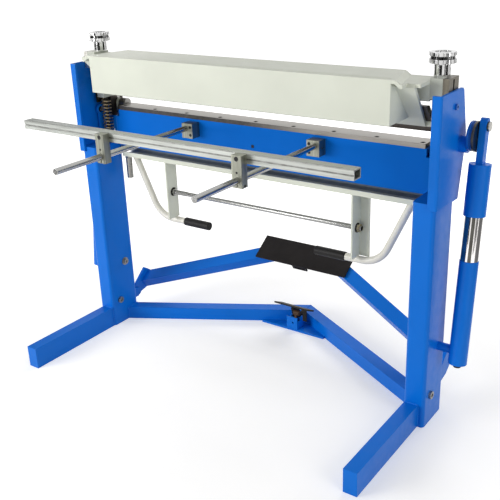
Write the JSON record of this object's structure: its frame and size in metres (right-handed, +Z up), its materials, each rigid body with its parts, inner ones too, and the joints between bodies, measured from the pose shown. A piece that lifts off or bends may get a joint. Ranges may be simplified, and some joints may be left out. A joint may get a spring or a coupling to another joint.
{
  "type": "box and pan brake",
  "caption": "Floor-standing box and pan brake: fingered clamp beam worked by a foot pedal, hinged bending apron with handles, side struts and a sliding back gauge.",
  "frame": {"origin": "on the floor, under the middle of the machine's overall box", "axes": "+Z up, +X along the bend to the right as seen from the back gauge side, +Y towards the operator"},
  "size_m": [1.607, 1.0146, 1.151],
  "materials": {
    "blue_paint": "gloss",
    "cream_paint": "gloss",
    "grey_paint": "gloss",
    "handle_paint": "gloss",
    "machined_steel": "machined",
    "dark_steel": "oiled",
    "chrome": "polished",
    "bright_steel": "ground",
    "spring_steel": "plated",
    "aluminium_rail": "anodised",
    "black_paint": "satin",
    "black_grip": "moulded",
    "brown_rubber": "moulded"
  },
  "bodies": {
    "frame": {"left_leg": "blue_paint", "right_leg": "blue_paint", "left_foot": "blue_paint", "right_foot": "blue_paint", "floor_stretcher": "blue_paint", "floor_gusset": "blue_paint", "left_side_channel": "blue_paint", "right_side_channel": "blue_paint", "guide_keys": "dark_steel", "bed_beam": "blue_paint", "bed_plate": "machined_steel", "bed_screws": "dark_steel", "hinge_bearings": "machined_steel", "strut_anchors": "blue_paint", "leg_bolts": "dark_steel", "pedal_lugs": "blue_paint", "pedal_pins": "bright_steel", "release_bracket": "blue_paint", "release_buffer": "brown_rubber", "gauge_rods": "bright_steel", "gauge_rod_blocks": "machined_steel", "left_return_spring": "spring_steel", "right_return_spring": "spring_steel"},
    "apron": {"apron": "cream_paint", "blade_bar": "machined_steel", "apron_braces": "cream_paint", "tie_rod": "bright_steel", "left_handle": "handle_paint", "right_handle": "handle_paint", "handle_grips": "black_grip", "stop_rod": "bright_steel", "hinge_pins": "bright_steel"},
    "pedal": {"pedal_frame": "blue_paint", "pedal_plate": "black_paint"},
    "left_push_rod": {"left_push_bar": "blue_paint"},
    "right_push_rod": {"right_push_bar": "blue_paint"},
    "left_crank": {"left_crank_shaft": "bright_steel", "left_crank_disc": "blue_paint"},
    "right_crank": {"right_crank_shaft": "bright_steel", "right_crank_disc": "blue_paint"},
    "left_strut": {"left_strut_cylinder": "blue_paint", "left_strut_rod": "chrome"},
    "right_strut": {"right_strut_cylinder": "blue_paint", "right_strut_rod": "chrome"},
    "left_sleeve": {"left_strut_sleeve": "blue_paint"},
    "right_sleeve": {"right_strut_sleeve": "blue_paint"},
    "clamp_beam": {"clamp_beam": "cream_paint", "clamp_fingers": "dark_steel", "finger_bar": "machined_steel", "finger_screws": "dark_steel", "left_end_block": "grey_paint", "right_end_block": "grey_paint", "wear_plates": "machined_steel", "pull_lugs": "dark_steel", "spring_rods": "bright_steel"},
    "left_knob": {"left_knob": "chrome"},
    "right_knob": {"right_knob": "chrome"},
    "release": {"release_lever": "dark_steel"},
    "back_gauge": {"gauge_rail": "aluminium_rail", "gauge_clamp_blocks": "machined_steel"}
  },
  "joints": [
    {"name": "apron_swing", "type": "hinge", "parent": "frame", "child": "apron", "pos_m": [0, 0.1902, 0.88], "axis": [1, 0, 0], "range_deg": [0, 120]},
    {"name": "pedal_press", "type": "hinge", "parent": "frame", "child": "pedal", "pos_m": [0, 0.1812, 0.082], "axis": [-1, 0, 0], "range_deg": [0, 32], "stiffness_Nm_per_rad": 60, "springref_deg": -126.05},
    {"name": "beam_drop", "type": "slide", "parent": "frame", "child": "clamp_beam", "axis": [0, 0, -1], "range_m": [0, 0.0323], "deforming": ["left_return_spring", "right_return_spring"]},
    {"name": "release_press", "type": "hinge", "parent": "frame", "child": "release", "pos_m": [0, 0.3892, 0.038], "axis": [-1, 0, 0], "range_deg": [-8, 6], "stiffness_Nm_per_rad": 12},
    {"name": "gauge_slide", "type": "slide", "parent": "frame", "child": "back_gauge", "axis": [0, 1, 0], "range_m": [-0.15, 0.35]},
    {"name": "left_push_rise", "type": "slide", "parent": "frame", "child": "left_push_rod", "axis": [0, 0, 1], "range_m": [0, 0.043]},
    {"name": "left_crank_turn", "type": "hinge", "parent": "frame", "child": "left_crank", "pos_m": [-0.72, 0.1592, 0.887], "axis": [-1, 0, 0], "range_deg": [0, 50.2]},
    {"name": "left_strut_swing", "type": "hinge", "parent": "frame", "child": "left_strut", "pos_m": [-0.771, 0.0992, 0.255], "axis": [-1, 0, 0], "range_deg": [0, 3.4]},
    {"name": "left_strut_slide", "type": "slide", "parent": "left_strut", "child": "left_sleeve", "axis": [0, -0.1144, -0.9934], "range_m": [0, 0.0288]},
    {"name": "left_knob_turn", "type": "hinge", "parent": "clamp_beam", "child": "left_knob", "pos_m": [-0.662, 0.1142, 1.1], "axis": [0, 0, 1], "range_deg": [-180, 180]},
    {"name": "right_push_rise", "type": "slide", "parent": "frame", "child": "right_push_rod", "axis": [0, 0, 1], "range_m": [0, 0.043]},
    {"name": "right_crank_turn", "type": "hinge", "parent": "frame", "child": "right_crank", "pos_m": [0.72, 0.1592, 0.887], "axis": [-1, 0, 0], "range_deg": [0, 50.2]},
    {"name": "right_strut_swing", "type": "hinge", "parent": "frame", "child": "right_strut", "pos_m": [0.771, 0.0992, 0.255], "axis": [-1, 0, 0], "range_deg": [0, 3.4]},
    {"name": "right_strut_slide", "type": "slide", "parent": "right_strut", "child": "right_sleeve", "axis": [0, -0.1144, -0.9934], "range_m": [0, 0.0288]},
    {"name": "right_knob_turn", "type": "hinge", "parent": "clamp_beam", "child": "right_knob", "pos_m": [0.662, 0.1142, 1.1], "axis": [0, 0, 1], "range_deg": [-180, 180]}
  ],
  "couplings": [
    {"joint": "beam_drop", "follows": "pedal_press", "m_per_rad": 0.057475},
    {"joint": "left_push_rise", "follows": "pedal_press", "m_per_rad": 0.076633},
    {"joint": "left_crank_turn", "follows": "pedal_press", "ratio": 1.5625},
    {"joint": "left_strut_swing", "follows": "pedal_press", "ratio": 0.10344},
    {"joint": "left_strut_slide", "follows": "pedal_press", "m_per_rad": 0.051029},
    {"joint": "right_push_rise", "follows": "pedal_press", "m_per_rad": 0.076633},
    {"joint": "right_crank_turn", "follows": "pedal_press", "ratio": 1.5625},
    {"joint": "right_strut_swing", "follows": "pedal_press", "ratio": 0.10344},
    {"joint": "right_strut_slide", "follows": "pedal_press", "m_per_rad": 0.051029}
  ]
}
